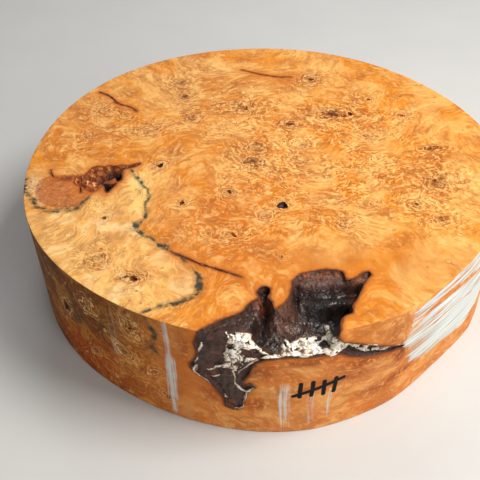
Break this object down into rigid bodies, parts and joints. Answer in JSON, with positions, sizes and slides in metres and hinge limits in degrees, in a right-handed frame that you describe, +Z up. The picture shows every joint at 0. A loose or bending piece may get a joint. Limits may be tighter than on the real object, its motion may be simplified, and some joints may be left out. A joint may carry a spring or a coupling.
{
  "type": "maple burl round",
  "caption": "Round sawn from a maple burl: a low wooden drum with flat faces and a bark pocket open at its rim, to be turned into a bowl.",
  "frame": {"origin": "middle of the outline's box, on the base face that the round rests on", "axes": "+Z up through the thickness; +X to the right and +Y away, seen from the side where the bark pocket breaks out"},
  "size_m": [0.2824, 0.28, 0.075],
  "materials": {
    "burl_wood": "sawn, waxed, satin"
  },
  "bodies": {
    "root": {"burl_round": "burl_wood"}
  },
  "joints": []
}
